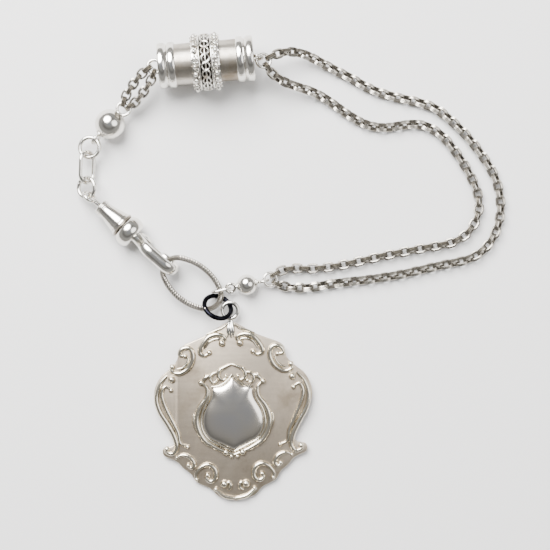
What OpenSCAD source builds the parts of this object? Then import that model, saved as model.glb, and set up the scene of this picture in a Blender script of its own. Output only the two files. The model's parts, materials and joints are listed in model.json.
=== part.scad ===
// Silver pocket watch chain of the double strand kind, fastened into a loop and lying flat.
// A barrel station carries two long strands on its right and two short ones on its left.
// The short ones end in a large ball, three rings and a dog clip; the long ones end in a small
// ball; the clip and the small ball meet on an oval ring, from which a scroll-edged fob hangs.
// Units are millimetres and +Z is up. The origin is under the middle of the whole chain.

/* [Chain links] */
// Distance from one link's contact to the next
link_pitch = 1.57; // [1.45:0.01:1.7]
// Outer width of a link
link_w = 2; // [1.9:0.05:2.1]
// Width of the band that a link is bent from
link_band = 0.85; // [0.75:0.05:0.9]
// Thickness of that band
link_t = 0.37; // [0.3:0.01:0.4]
// Free play between two linked bands
link_play = 0.22; // [0.18:0.01:0.26]

/* [Barrel station] */
// Length over the two end collars
barrel_len = 18.9; // [18:0.1:20]
// Outer diameter of the plain tube
tube_d = 8.1; // [7.6:0.1:8.6]
// Wall of the tube
tube_wall = 0.4; // [0.3:0.05:0.6]
// Diameter over the collar beads
collar_d = 9.1; // [8.9:0.1:10]
// Width of each end collar
collar_w = 3.4; // [3:0.1:4]
// Depth of the dished ends
end_recess = 0.95; // [0.6:0.05:1.2]
// Width of the pierced gallery band, crowns included
band_w = 5.6; // [5:0.1:6.2]
// Outer diameter of the gallery band
band_d = 11.6; // [11:0.1:12]
// Cells round the gallery band
band_cells = 22; // [18:1:24]

/* [Balls] */
// Diameter of the large ball beside the short strands
large_ball_d = 6; // [5.6:0.1:6.4]
// Diameter of the small ball at the end of the long strands
small_ball_d = 4.1; // [3.8:0.1:4.4]
// Wall of both hollow balls
ball_wall = 0.4; // [0.3:0.05:0.6]

/* [Rings] */
// Wire diameter of the fork eyes that carry two strands
fork_wire = 0.66; // [0.6:0.02:0.7]
// Mean diameter of the fork eyes
fork_mean = 2.6; // [2.6:0.05:2.8]
// Wire diameter of the plain rings next to the clip
ring_wire = 0.9; // [0.8:0.05:1]
// Mean diameter of the plain rings next to the clip
ring_mean = 4; // [3.9:0.1:4.2]
// Wire diameter of the oval ring
oval_wire = 1.2; // [1.1:0.05:1.25]
// Length of the oval ring, along its wire's centre line
oval_len = 13.2; // [12.8:0.1:13.6]
// Width of the oval ring, along its wire's centre line
oval_wid = 7.7; // [7.2:0.1:8.2]
// Wire diameter of the dark jump ring
jump_wire = 1; // [0.9:0.05:1.1]
// Mean diameter of the dark jump ring
jump_mean = 5.6; // [5.5:0.1:5.8]

/* [Dog clip] */
// Diameter of the round bead behind the hook
bead_d = 6.3; // [6:0.1:6.4]
// Thickness of the hook, in its own plane
hook_t = 1.6; // [1.4:0.05:1.7]
// Width of the hook, across its plane
hook_w = 2.4; // [2.2:0.05:2.6]
// Radius of the hook's bight, to the middle of its thickness
bight_r = 2.1; // [2:0.05:2.2]

/* [Fob] */
// Thickness of the fob's plate
plate_t = 0.9; // [0.7:0.05:1.2]
// Width over the fob's side scrolls
fob_w = 31.8; // [28:0.2:34]
// Height from the middle of the bail ring to the bottom lip
fob_h = 38.4; // [35:0.2:41]

/* [Hidden] */
$fn = 48;
fit = 0.03;

silver = "#c9c5bc";
bright = "#dedbd3";
toned = "#a89c88";
dark = "#2b2d33";

// Places, measured from the middle of the loop
loop_middle = [0.52, -0.28];
barrel_at = [-16.4, 40.6, band_d / 2 + 0.1];
barrel_az = 4.9;
large_ball_at = [-35.8, 28.6, large_ball_d / 2];
large_ball_az = 48;
small_ball_at = [-8.4, -3.5, small_ball_d / 2];
small_ball_az = 12;
end_loop_at = [-13.57, -4.57, 2.04];
clip_at = [-38.4, 12.8, bead_d / 2];
clip_az = -41.1;
clip_roll = 12;
oval_az = 142;
oval_pitch = 5.4;
bail_at = [-11.8, -8.7, 2.1];
fob_turn = 2;
fob_pitch = 2.4;

// Long strands, from the fork ring by the barrel round to the ring by the small ball
route_a = [
    [-4.32, 41.43, 5.15], [-3, 42.1, 5], [-1.5, 42.65, 4.6], [0.6, 42.95, 3.9], [3, 42.6, 3],
    [5.4, 41.6, 2.2], [7.8, 40.4, 1.5], [10.2, 39.2, 1.1], [12.6, 38, 1.1], [15, 36.6, 1.1],
    [17.8, 35.3, 1.1], [20.8, 34.4, 1.1], [23.8, 33.7, 1.1], [26.8, 33, 1.1], [29.6, 31.9, 1.1],
    [32, 30.1, 1.1], [34.4, 27.9, 1.1], [36.6, 25.5, 1.1], [38.6, 22.9, 1.1], [40.4, 20.2, 1.1],
    [41.8, 17.3, 1.1], [42.5, 14.2, 1.1], [42.6, 11.1, 1.1], [42, 8, 1.1], [40.7, 5.2, 1.1],
    [38.6, 2.9, 1.1], [35.9, 1.5, 1.1], [32.8, 0.8, 1.1], [29.4, 0.1, 1.1], [26, -0.7, 1.1],
    [22.4, -1.5, 1.1], [18.8, -2.1, 1.1], [15.2, -2.6, 1.1], [11.6, -3, 1.1], [8, -3.45, 1.1],
    [5, -4, 1.1], [2.2, -4.2, 1.1], [-0.2, -4.05, 1.1], [-1.65, -3.65, 1.22], [-3.03, -2.93, 1.41]
];
route_b = [
    [-4.7, 40.2, 5.45], [-3.85, 39, 5.1], [-2.7, 37.95, 4.7], [-1.3, 37.1, 4.2],
    [0.4, 36.4, 3.6], [2.6, 35.8, 2.8], [5.2, 35, 1.9], [7.8, 33.6, 1.3], [10.2, 31.9, 1.1],
    [12.7, 30.2, 1.1], [15.3, 28.8, 1.1], [18.1, 28.1, 1.1], [20.9, 28.2, 1.1], [23.7, 28.7, 1.1],
    [26.5, 28.7, 1.1], [29.1, 27.7, 1.1], [31.4, 25.9, 1.1], [33.4, 23.4, 1.1], [35.2, 20.8, 1.1],
    [36.8, 17.9, 1.1], [38, 14.9, 1.1], [38.3, 11.8, 1.1], [37.4, 8.8, 1.1], [35.5, 6.4, 1.1],
    [32.8, 4.9, 1.1], [29.6, 4.2, 1.1], [26, 3.6, 1.1], [22.4, 2.9, 1.1], [18.8, 2.2, 1.1],
    [15.2, 1.4, 1.1], [11.6, 0.6, 1.1], [8, 0, 1.1], [4.4, -0.3, 1.1], [1, -0.2, 1.1],
    [-0.9, -0.5, 1.12], [-2.2, -1, 1.27], [-3.43, -1.8, 1.52]
];
// Roll of the links along each strand: the share of its length, and degrees
roll_a = [[0, 84], [0.08, 48], [0.3, 40], [0.6, 30], [0.85, 40], [1, 80]];
roll_b = [[0, 79], [0.08, 48], [0.3, 50], [0.55, 20], [0.8, 18], [1, 4]];

// Short strands, from the barrel's left eye down to the large ball
route_c = [
    [-27.53, 39.62, 5.9], [-29.4, 38.2, 5.4], [-31.1, 36.2, 4.6], [-32.6, 34.1, 3.7], [-33.18, 32.4, 3.1]
];
route_d = [
    [-26.6, 38.92, 5.9], [-27.4, 37, 5.4], [-29, 34.7, 4.6], [-30.9, 32.6, 3.7], [-32.3, 31.68, 3.1]
];
roll_short = [[0, 90], [0.5, 70], [1, 90]];

// Half of the fob's outline: share of its half width, and share of its height
fob_edge = [
    [0.05, 0.063], [0.12, 0.078], [0.34, 0.13], [0.58, 0.169], [0.67, 0.2], [0.69, 0.25],
    [0.8, 0.3], [0.9, 0.333], [0.98, 0.39], [1, 0.45], [0.96, 0.51], [0.83, 0.61], [0.76, 0.69],
    [0.9, 0.71], [0.9, 0.75], [0.75, 0.78], [0.66, 0.82], [0.57, 0.85], [0.5, 0.895],
    [0.33, 0.93], [0.22, 0.975], [0, 1]
];
// Half of the raised shield's outline: half width, and height from its middle, in millimetres
shield_edge = [[0, 7.1], [3, 5.6], [6, 5.4], [5.6, 3], [6.7, 0], [7.4, -3.4], [5.4, -6], [2.4, -7.2], [0, -8.4]];
shield_drop = 20.4;
shield_t = 0.7;
shield_dome = 0.5;
shield_inner = 0.78;

// Vectors and directions
function heading(az, el) = [cos(az) * cos(el), sin(az) * cos(el), sin(el)];
function azimuth(v) = atan2(v[1], v[0]);
function elevation(v) = atan2(v[2], norm([v[0], v[1]]));

// A smooth curve through points, and the same curve stepped by length
function spline_point(p, i, t) =
    let (n = len(p) - 1, a = p[max(i - 1, 0)], b = p[i], c = p[min(i + 1, n)], d = p[min(i + 2, n)])
    (2 * b + (c - a) * t + (2 * a - 5 * b + 4 * c - d) * t * t + (3 * b - a - 3 * c + d) * t * t * t) / 2;
function smooth(p, steps) = [
    for (i = [0 : len(p) - 2]) for (k = [0 : steps - 1]) spline_point(p, i, k / steps),
    p[len(p) - 1]
];
function run_lengths(q) = [
    for (i = 0, s = 0; i < len(q); s = s + (i < len(q) - 1 ? norm(q[i + 1] - q[i]) : 0), i = i + 1) s
];
function at_length(q, s, want) = [
    for (c = [0 : 2]) lookup(want, [for (i = [0 : len(q) - 1]) [s[i], q[i][c]]])
];
// An odd number of links leaves the first and the last one turned the same way
function contacts(route, odd) =
    let (q = smooth(route, 6), s = run_lengths(q), total = s[len(s) - 1],
         n = 2 * round((total / link_pitch - odd) / 2) + odd)
    [for (i = [0 : n]) at_length(q, s, i * total / n)];

// A rectangle with round corners, as points
function rounded(l, w, r, steps) = [
    for (q = [0 : 3]) let (sx = q == 0 || q == 3 ? 1 : -1, sy = q < 2 ? 1 : -1)
        for (k = [0 : steps]) let (a = 90 * (q + k / steps))
            [sx * (l / 2 - r) + r * cos(a), sy * (w / 2 - r) + r * sin(a)]
];
// Both halves of an outline that is symmetrical about X = 0
function both_sides(half) = concat(
    half, [for (i = [len(half) - 2 : -1 : (half[0][0] == 0 ? 1 : 0)]) [-half[i][0], half[i][1]]]
);

module centred() translate([-loop_middle[0], -loop_middle[1], 0]) children();
module along(v, roll = 0) rotate([roll, -elevation(v), azimuth(v)]) children();
module on_barrel() centred() translate(barrel_at) rotate([0, 0, barrel_az]) children();
module on_clip() centred() translate(clip_at) rotate([0, 0, clip_az]) rotate([clip_roll, 0, 0]) children();
module on_fob() centred() translate(bail_at) rotate([0, 0, fob_turn]) rotate([fob_pitch, 0, 0]) children();
module torus(mean_d, wire_d) rotate_extrude() translate([mean_d / 2, 0]) circle(d = wire_d);
// A round profile of [length, radius] points, turned about X
module turned(points) rotate([0, 90, 0]) rotate_extrude() polygon([for (p = points) [p[1], p[0]]]);
// A washer of the given bore and outer radius, from x0 to x1 on X
module washer(x0, x1, bore, outer) turned([[x0, bore], [x1, bore], [x1, outer], [x0, outer]]);
// A wire loop with straight sides and round ends, its length along X
module long_loop(len, wid, wire_d) {
    for (s = [-1, 1]) {
        translate([s * (len - wid) / 2, 0, 0]) rotate([0, 0, -90 * s]) rotate_extrude(angle = 180)
            translate([wid / 2, 0]) circle(d = wire_d);
        translate([-(len - wid) / 2, s * wid / 2, 0]) rotate([0, 90, 0])
            cylinder(d = wire_d, h = len - wid);
    }
}

// Chain ------------------------------------------------------------------
module link(pitch) {
    inner_l = pitch + link_play;
    inner_w = link_w - 2 * link_t;
    linear_extrude(link_band, center = true) difference() {
        polygon(rounded(inner_l + 2 * link_t, link_w, 0.6, 3));
        polygon(rounded(inner_l, inner_w, 0.28, 2));
    }
}
module strand(route, roll, odd) {
    c = contacts(route, odd);
    n = len(c) - 1;
    centred() for (i = [0 : n - 1])
        translate((c[i] + c[i + 1]) / 2)
            along(c[i + 1] - c[i], lookup(i / (n - 1), roll) + 90 * (i % 2)) link(norm(c[i + 1] - c[i]));
}
module strand_a() color(silver) strand(route_a, roll_a, 1);
module strand_b() color(silver) strand(route_b, roll_b, 0);
module short_strand_a() color(silver) strand(route_c, roll_short, 1);
module short_strand_b() color(silver) strand(route_d, roll_short, 1);

// Barrel station -----------------------------------------------------------
half_barrel = barrel_len / 2;
core_wire_d = 1;
cap_t = 0.6;
crown_w = 1.45;
sleeve_r = band_d / 2 - 1.1;
eye_centre = half_barrel + 0.9;

module barrel_tube() color(toned) on_barrel()
    washer(-half_barrel + 0.3, half_barrel - 0.3, tube_d / 2 - tube_wall, tube_d / 2);
module collar(side) {
    r0 = tube_d / 2 + fit;
    r1 = collar_d / 2;
    bead = (collar_w - 0.5) / 2;
    x0 = half_barrel - collar_w;
    mirror([side < 0 ? 1 : 0, 0, 0]) turned([
        [x0, r0], [half_barrel, r0], [half_barrel, r1 - 0.35], [half_barrel - 0.3, r1 - 0.08],
        [half_barrel - bead / 2, r1], [half_barrel - bead + 0.2, r1 - 0.15],
        [half_barrel - bead, r1 - 0.35], [x0 + bead, r1 - 0.35], [x0 + bead - 0.2, r1 - 0.15],
        [x0 + bead / 2, r1], [x0 + 0.3, r1 - 0.15], [x0, r1 - 0.35]
    ]);
}
module left_collar() color(bright) on_barrel() collar(-1);
module right_collar() color(bright) on_barrel() collar(1);
module end_cap(side) mirror([side < 0 ? 1 : 0, 0, 0])
    washer(half_barrel - end_recess - cap_t, half_barrel - end_recess, core_wire_d / 2 + fit,
           tube_d / 2 - tube_wall - fit);
module left_end_cap() color(toned) on_barrel() end_cap(-1);
module right_end_cap() color(toned) on_barrel() end_cap(1);
// The wire through the barrel, with a flat fork eye on the left and an upright eye on the right
module barrel_core_wire() color(silver) on_barrel() {
    rotate([0, 90, 0]) cylinder(d = core_wire_d, h = 2 * (half_barrel - 0.25), center = true);
    translate([-eye_centre, 0, 0]) torus(fork_mean, fork_wire);
    translate([eye_centre - 0.25, 0, 0]) rotate([72.4, 0, 0]) torus(2, 0.62);
}
module band_sleeve() color(toned) on_barrel()
    washer(-band_w / 2, band_w / 2, tube_d / 2 + fit, sleeve_r);
module gallery_band() color(silver) on_barrel() difference() {
    washer(-band_w / 2 + crown_w, band_w / 2 - crown_w, sleeve_r + fit, band_d / 2 - 0.2);
    for (i = [0 : band_cells - 1], s = [-1, 1])
        rotate([360 * i / band_cells, 0, 0]) translate([s * 0.62, 0, sleeve_r - 0.5])
            cylinder(d = 0.85, h = 2, $fn = 24);
}
module crown(side) {
    x0 = side > 0 ? band_w / 2 - crown_w : -band_w / 2;
    washer(x0 + fit, x0 + crown_w - fit, sleeve_r + fit, band_d / 2 - 0.35);
    for (i = [0 : band_cells - 1])
        rotate([360 * i / band_cells, 0, 0]) translate([x0 + crown_w / 2, 0, band_d / 2 - 0.55])
            sphere(d = 1.1, $fn = 24);
}
module left_crown() color(bright) on_barrel() crown(-1);
module right_crown() color(bright) on_barrel() crown(1);

// Right end: fork ring, small ball and its loops ---------------------------
right_fork_at = [-5.05, 40.92, 5.42];
strand_fork_at = [-3.73, -2.48, 1.65];
small_eye_mean = 1.8;
small_eye_wire = 0.6;
small_eye_at = small_ball_d / 2 + 1.3;

module right_fork_ring() color(silver) centred() translate(right_fork_at)
    along(heading(-15.4, -12.5), -11.3) torus(fork_mean + 0.2, fork_wire);
module strand_fork_ring() color(silver) centred() translate(strand_fork_at)
    along(heading(13.7, -17.4), 6.4) torus(fork_mean + 0.1, fork_wire - 0.04);
module hollow_ball(d, opening, bore) difference() {
    sphere(d = d);
    sphere(d = d - 2 * ball_wall);
    rotate([0, 90, 0]) cylinder(r = opening, h = d);
    rotate([0, -90, 0]) cylinder(r = bore, h = d);
}
module small_ball() color(bright) centred() translate(small_ball_at) rotate([0, 0, small_ball_az])
    hollow_ball(small_ball_d, 0.36, 0.36);
module small_ball_wire() color(silver) centred() translate(small_ball_at) rotate([0, 0, small_ball_az]) {
    rotate([0, 90, 0]) cylinder(d = 0.6, h = 2 * (small_eye_at - small_eye_mean / 2), center = true);
    translate([small_eye_at, 0, 0]) rotate([96.8, 0, 0]) torus(small_eye_mean, small_eye_wire);
    translate([-small_eye_at, 0, 0]) rotate([21.8, 0, 0]) torus(small_eye_mean, small_eye_wire);
}
module end_loop() color(silver) centred() translate(end_loop_at)
    along(heading(193.1, -1.5), 84.8) long_loop(3.7, 2.1, 0.55);

// Left end: large ball and rings -------------------------------------------
ring_1_at = [-39.9, 23.95, 2.8];
link_2_at = [-40.4, 19.95, 2.85];
ring_3_at = [-40.5, 15.9, 2.7];
large_fork_at = 4.05;
large_eye_at = 4.15;
large_eye_mean = 1.9;

module large_ball() color(bright) centred() translate(large_ball_at) rotate([0, 0, large_ball_az])
    hollow_ball(large_ball_d, 1.3, 0.4);
module large_ball_wire() color(silver) centred() translate(large_ball_at) rotate([0, 0, large_ball_az]) {
    rotate([0, 90, 0]) translate([0, 0, -large_eye_at + large_eye_mean / 2])
        cylinder(d = 0.6, h = large_eye_at - large_eye_mean / 2 + large_fork_at - fork_mean / 2);
    translate([large_fork_at, 0, 0]) torus(fork_mean, fork_wire);
    translate([-large_eye_at, 0, 0]) rotate([72.5, 0, 0]) torus(large_eye_mean, 0.6);
}
module ring_1() color(bright) centred() translate(ring_1_at)
    along(heading(29, 8.2), -6) torus(ring_mean, ring_wire);
module long_link() color(silver) centred() translate(link_2_at)
    along(heading(88, 2), 48.5) long_loop(6.1, 3.4, 0.84);
module ring_3() color(bright) centred() translate(ring_3_at)
    along(heading(64.5, 15.5), -27.5) torus(ring_mean, ring_wire);

// Dog clip -------------------------------------------------------------------
eye_x = -1.9;
eye_mean = 2.24;
eye_wire = 0.84;
neck_d = 1;
collar_x = [0.9, 2.1];
barrel_x = [2.1, 6.6];
barrel_r = [1.6, 2.6];
flange_x = [6.6, 6.95];
bead_x = [7.0, 10.3];
stem_d = 2;
knuckle_x = 12;
knuckle_z = -1.1;
knuckle_r = 1.4;
slot_w = 1.1;
bight_x = 18.3;
gate_end = 16.2;
pin_d = 0.6;

module swivel_eye() color(bright) on_clip() {
    translate([eye_x, 0, 0]) rotate([-71, 0, 0]) torus(eye_mean, eye_wire);
    rotate([0, 90, 0]) translate([0, 0, eye_x + eye_mean / 2]) cylinder(d = neck_d, h = 4);
    rotate([0, 90, 0]) translate([0, 0, 2.5]) cylinder(d = 1.8, h = 0.7);
}
module clip_collar() color(silver) on_clip() turned([
    [collar_x[0], neck_d / 2 + fit], [collar_x[1], neck_d / 2 + fit], [collar_x[1], 1.6],
    [collar_x[1] - 0.25, 1.75], [collar_x[0] + 0.25, 1.75], [collar_x[0], 1.45]
]);
module clip_barrel() color(bright) on_clip() turned([
    [barrel_x[0], neck_d / 2 + fit], [barrel_x[0], barrel_r[0]], [barrel_x[1], barrel_r[1]],
    [barrel_x[1], 2.2], [4.2, 1.5], [2.42, 1.5], [2.42, neck_d / 2 + fit]
]);
module clip_flange() color(toned) on_clip() washer(flange_x[0], flange_x[1], stem_d / 2 + fit, 2.65);
module clip_bead() color(bright) on_clip() turned(concat(
    [[bead_x[0], stem_d / 2 + fit]],
    [for (a = [180 : -20 : 0]) [
        (bead_x[0] + bead_x[1]) / 2 + cos(a) * (bead_x[1] - bead_x[0]) / 2,
        bead_d / 2 - 1.15 + 1.15 * sin(a)]],
    [[bead_x[1], stem_d / 2 + fit]]
));
module hook_section() {
    for (s = [-1, 1]) translate([0, s * (hook_w - hook_t) / 2]) circle(d = hook_t);
    square([hook_t, hook_w - hook_t], center = true);
}
module clip_hook() color(bright) on_clip() {
    rotate([0, 90, 0]) translate([0, 0, 4.2]) cylinder(d = 2.8, h = 0.6);
    difference() {
        translate([knuckle_x, 0, knuckle_z]) rotate([90, 0, 0]) cylinder(r = knuckle_r, h = hook_w, center = true);
        translate([knuckle_x + 0.25, 0, knuckle_z]) cube([3.1, slot_w, 3.1], center = true);
        translate([knuckle_x, 0, knuckle_z]) rotate([90, 0, 0]) cylinder(d = pin_d, h = hook_w + 1, center = true);
    }
    difference() {
        union() {
            rotate([0, 90, 0]) translate([0, 0, 4.4]) cylinder(d = stem_d, h = knuckle_x - 5);
            translate([knuckle_x, 0, 0]) rotate([0, 48, 0]) translate([0, 0, -0.9]) cylinder(d = 2, h = 3.6);
        }
        translate([knuckle_x + 0.25, 0, knuckle_z]) cube([3.1, slot_w, 3.1], center = true);
        translate([knuckle_x, 0, knuckle_z]) rotate([90, 0, 0]) cylinder(d = pin_d, h = hook_w + 1, center = true);
    }
    translate([13.6, 0, bight_r]) rotate([0, 90, 0]) linear_extrude(bight_x - 13.6) hook_section();
    translate([bight_x, 0, 0]) rotate([90, 0, 0]) rotate_extrude(angle = 180, start = -90)
        translate([bight_r, 0]) hook_section();
    translate([gate_end + 0.3, 0, -bight_r]) rotate([0, 90, 0]) linear_extrude(bight_x - gate_end - 0.3)
        hook_section();
}
module gate_lever() color(silver) on_clip() difference() {
    union() {
        translate([knuckle_x, 0, knuckle_z]) rotate([90, 0, 0])
            cylinder(r = knuckle_r - 0.3, h = slot_w - 0.1, center = true);
        translate([knuckle_x, 0, knuckle_z]) rotate([0, 90 + 9, 0]) translate([-0.15, 0, (gate_end - knuckle_x) / 2])
            cube([0.9, slot_w - 0.1, gate_end - knuckle_x], center = true);
    }
    translate([knuckle_x, 0, knuckle_z]) rotate([90, 0, 0]) cylinder(d = pin_d + 2 * fit, h = hook_w, center = true);
}
module gate_pin() color(dark) on_clip() translate([knuckle_x, 0, knuckle_z]) rotate([90, 0, 0])
    cylinder(d = pin_d - fit, h = hook_w - 0.05, center = true);
module gate_spring() color(silver) on_clip() translate([knuckle_x + 1.5, 0, knuckle_z + 0.85])
    cube([1.4, 0.8, 0.12], center = true);

// Oval ring and jump ring ----------------------------------------------------
end_r = 2.9;
side_r = (pow(oval_len / 2 - end_r, 2) + pow(oval_wid / 2, 2) - end_r * end_r) / (oval_wid - 2 * end_r);
end_half = asin((side_r - oval_wid / 2) / (side_r - end_r));
clip_axis = heading(clip_az, 0);
bight_at = clip_at + bight_x * clip_axis;
oval_at = bight_at - oval_len / 2 * heading(oval_az, oval_pitch);
jump_at = [-14.25, -8, 2.6];

module oval_ring() color(bright) centred() translate(oval_at) along(heading(oval_az, oval_pitch)) {
    for (s = [0, 180]) rotate([0, 0, s]) {
        translate([oval_len / 2 - end_r, 0, 0]) rotate_extrude(angle = 2 * end_half, start = -end_half)
            translate([end_r, 0]) circle(d = oval_wire);
        translate([0, oval_wid / 2 - side_r, 0])
            rotate_extrude(angle = 182 - 2 * end_half, start = end_half - 1)
                translate([side_r, 0]) circle(d = oval_wire - fit);
    }
}
module jump_ring() color(dark) centred() translate(jump_at)
    rotate([0, 44, 61]) torus(jump_mean, jump_wire);

// Fob ------------------------------------------------------------------------
bail_mean = 3.2;
bail_wire = 0.8;
module bail_ring() color(silver) on_fob() torus(bail_mean, bail_wire);
module bail_post() color(silver) on_fob() {
    difference() {
        union() {
            translate([0, -bail_mean / 2 - bail_wire / 2 - fit, 0.1]) rotate([90, 0, 0])
                cylinder(d = 0.9, h = plate_top_y - bail_mean / 2 - bail_wire / 2 - 2 * fit);
            translate([0, -plate_top_y + 0.35, plate_z]) rotate([90, 0, 0]) cylinder(r1 = 0.5, r2 = 0.95, h = 3.2);
        }
        translate([-3, -plate_top_y - 6, -3]) cube([6, 6, plate_z + 3 + fit / 3]);
    }
}
plate_top_y = fob_edge[0][1] * fob_h;
plate_z = plate_t / 2;
scroll_w = 1.1;
border_t = 0.5;
// A flat scroll: an arc with a round end at each tip
module scroll(at, r, from, to, ends = 0.6) translate([at[0], at[1], 0]) {
    rotate_extrude(angle = to - from, start = from) translate([r - scroll_w / 2, 0]) square([scroll_w, border_t]);
    for (a = [from, to]) translate([r * cos(a), r * sin(a), 0]) cylinder(r = ends, h = border_t);
}
function fob_x(share) = share * fob_w / 2;
function fob_y(share) = -share * fob_h;
module fob_plate() color(toned) on_fob() translate([0, 0, -plate_z]) linear_extrude(plate_t)
    fob_outline();
fob_points = both_sides(smooth([for (p = fob_edge) [fob_x(p[0]), fob_y(p[1])]], 3));
rim_middle = -0.53 * fob_h;
rim_points = [for (p = fob_points) [0.8 * p[0], rim_middle + 0.83 * (p[1] - rim_middle)]];
module fob_outline() polygon(fob_points);
module fob_border() color(bright) on_fob() translate([0, 0, plate_z]) {
    linear_extrude(border_t) difference() {
        fob_outline();
        polygon(rim_points);
        translate([-1.1, -plate_top_y - 3.2]) square([2.2, 4]);
    }
    for (s = [0, 1]) mirror([s, 0, 0]) {
        scroll([fob_x(0.22), fob_y(0.18)], 2, -40, 130, 0.75);
        scroll([fob_x(0.6), fob_y(0.245)], 2.2, 120, 300, 0.7);
        scroll([fob_x(0.61), fob_y(0.41)], 4.9, -30, 45, 0.7);
        scroll([fob_x(0.61) + 11.9 * cos(30), fob_y(0.41) - 11.9 * sin(30)], 7, 150, 200, 0.6);
        scroll([fob_x(0.83), fob_y(0.73)], 1, 200, 380, 0.55);
        scroll([fob_x(0.62), fob_y(0.765)], 1.3, 60, 250, 0.55);
        scroll([fob_x(0.4), fob_y(0.85)], 1.7, 50, 300, 0.6);
        translate([fob_x(0.14), fob_y(0.9), 0]) cylinder(r = 0.9, h = border_t);
    }
    scroll([0, fob_y(0.88)], 3.7, 235, 305, 0.6);
}
module shield_outline(share) scale(share)
    polygon(both_sides(smooth([for (p = shield_edge) [p[0], p[1]]], 4)));
module on_plate() on_fob() translate([0, -shield_drop, plate_z + fit / 3]) children();
module fob_cartouche() color(bright) on_plate() linear_extrude(shield_t) difference() {
    shield_outline(1);
    shield_outline(shield_inner);
}
module fob_shield() color(toned) on_plate() intersection() {
    linear_extrude(3) shield_outline(shield_inner - 0.005);
    translate([0, 0, shield_t + shield_dome - 42]) sphere(r = 42, $fn = 96);
}

barrel_tube();
left_collar();
right_collar();
left_end_cap();
right_end_cap();
barrel_core_wire();
band_sleeve();
gallery_band();
left_crown();
right_crown();
right_fork_ring();
strand_a();
strand_b();
strand_fork_ring();
small_ball();
small_ball_wire();
end_loop();
short_strand_a();
short_strand_b();
large_ball();
large_ball_wire();
ring_1();
long_link();
ring_3();
swivel_eye();
clip_collar();
clip_barrel();
clip_flange();
clip_bead();
clip_hook();
gate_lever();
gate_pin();
gate_spring();
oval_ring();
jump_ring();
bail_ring();
bail_post();
fob_plate();
fob_border();
fob_cartouche();
fob_shield();
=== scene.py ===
import json
import math

import bpy
import numpy as np
from bpy.props import FloatProperty, FloatVectorProperty, IntProperty, PointerProperty
from mathutils import Matrix, Vector


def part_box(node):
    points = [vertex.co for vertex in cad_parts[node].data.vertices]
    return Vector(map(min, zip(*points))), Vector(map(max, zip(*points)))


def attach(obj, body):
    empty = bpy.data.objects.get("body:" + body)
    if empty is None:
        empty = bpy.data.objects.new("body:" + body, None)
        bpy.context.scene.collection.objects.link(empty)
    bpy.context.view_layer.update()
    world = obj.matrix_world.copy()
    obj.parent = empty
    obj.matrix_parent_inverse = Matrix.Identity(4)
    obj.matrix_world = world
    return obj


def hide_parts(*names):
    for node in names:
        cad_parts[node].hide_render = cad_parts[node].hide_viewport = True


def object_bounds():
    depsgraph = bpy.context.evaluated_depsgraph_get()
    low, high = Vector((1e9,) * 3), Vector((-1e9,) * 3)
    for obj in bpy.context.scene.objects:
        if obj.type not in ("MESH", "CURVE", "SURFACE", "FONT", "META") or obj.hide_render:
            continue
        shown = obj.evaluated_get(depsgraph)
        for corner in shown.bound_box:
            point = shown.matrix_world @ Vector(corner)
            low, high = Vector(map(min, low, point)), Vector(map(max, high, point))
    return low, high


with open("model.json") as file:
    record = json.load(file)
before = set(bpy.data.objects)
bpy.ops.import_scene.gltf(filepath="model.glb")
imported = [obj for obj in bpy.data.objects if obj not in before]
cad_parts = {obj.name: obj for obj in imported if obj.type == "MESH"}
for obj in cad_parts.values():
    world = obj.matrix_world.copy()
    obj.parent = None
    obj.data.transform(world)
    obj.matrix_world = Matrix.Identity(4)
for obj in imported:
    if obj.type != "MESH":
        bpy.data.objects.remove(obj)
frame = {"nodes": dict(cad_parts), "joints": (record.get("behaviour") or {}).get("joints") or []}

bl_info = {
    "name": "Pocket Watch Chain",
    "version": (1, 0, 0),
    "blender": (4, 5, 0),
    "location": "View3D > Sidebar > Watch Chain",
    "description": "Builds the looks of a silver double strand watch chain round its frame",
    "category": "Object",
}

CAD_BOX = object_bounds()
MILLIMETRES = Matrix.Scale(0.001, 4)
UP = Vector((0, 0, 1))


# Places taken from the frame ------------------------------------------------
def cloud(node):
    """The corner points of a node, in metres."""
    return np.array([v.co for v in frame["nodes"][node].data.vertices])


def middle(points):
    return (points.min(axis=0) + points.max(axis=0)) / 2


def stand(origin, along, normal):
    """A frame at origin with X along one direction and Z as near as it can be to another."""
    x = Vector(along).normalized()
    y = Vector(normal).cross(x).normalized()
    z = x.cross(y)
    return Matrix.Translation(origin) @ Matrix((x, y, z)).transposed().to_4x4()


def lie(points):
    """A frame in the middle of some points: X on their longest way and Z on their shortest."""
    centre = middle(points)
    _, axes = np.linalg.eigh(np.cov((points - centre).T))
    normal = Vector(axes[:, 0])
    return stand(centre, axes[:, 2], -normal if normal.z < 0 else normal)


def reach(points, place):
    """The lowest and highest corner of some points in a frame, in millimetres."""
    turn = np.array(place.inverted())
    local = (points @ turn[:3, :3].T + turn[:3, 3]) * 1000
    return Vector(local.min(axis=0)), Vector(local.max(axis=0))


JOINTS = {joint["name"]: joint for joint in frame["joints"]}
BARREL = stand(middle(cloud("barrel_tube")), lie(cloud("barrel_tube")).col[0].xyz, UP)
if BARREL.col[0].x < 0:
    BARREL = BARREL @ Matrix.Rotation(math.pi, 4, "Z")
clip_axis = Vector(JOINTS["clip_swivel"]["axis"])
gate_axis = Vector(JOINTS["gate_opening"]["axis"])
CLIP = stand(JOINTS["clip_swivel"]["pos_m"], clip_axis, clip_axis.cross(gate_axis))
fob_pin = Vector(JOINTS["fob_swing"]["pos_m"])
fob_normal = Vector(JOINTS["fob_swing"]["axis"])
fob_down = Vector(middle(cloud("fob_plate"))) - fob_pin
FOB = stand(fob_pin, fob_normal.cross(fob_down).normalized(), fob_normal)


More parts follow.
